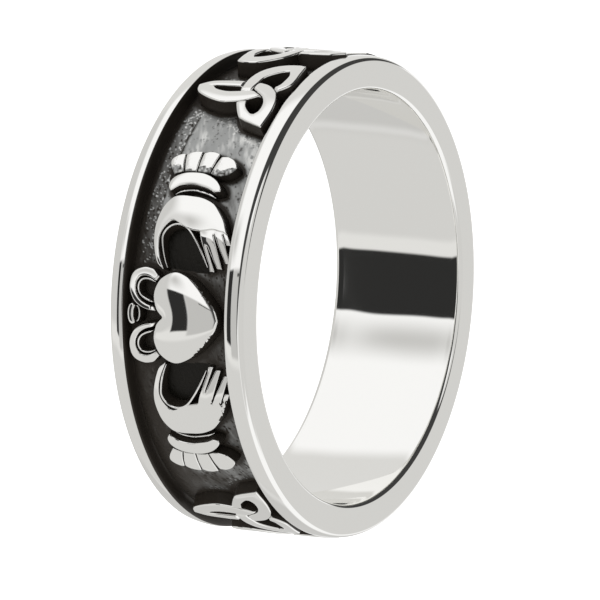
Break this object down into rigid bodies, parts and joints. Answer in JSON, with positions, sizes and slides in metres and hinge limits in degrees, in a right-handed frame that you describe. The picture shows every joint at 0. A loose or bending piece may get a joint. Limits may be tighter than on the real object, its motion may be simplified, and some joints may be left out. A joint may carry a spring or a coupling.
{
  "type": "claddagh ring",
  "caption": "Wide silver band ring with raised edge rails, a crowned heart held by two hands at the front and trinity knots all round a dark recessed channel.",
  "frame": {"origin": "on the ring's axis, in the plane of the lower flat face that it rests on", "axes": "+Z along the ring's axis, out of the upper flat face; -Y towards the middle of the claddagh, whose crown points to -Z"},
  "size_m": [0.0234, 0.0235, 0.0071],
  "materials": {
    "silver": "polished sterling silver, with a dark oxidised patina left in the channel and the crevices of the relief"
  },
  "bodies": {
    "root": {"ring": "silver"}
  },
  "joints": []
}
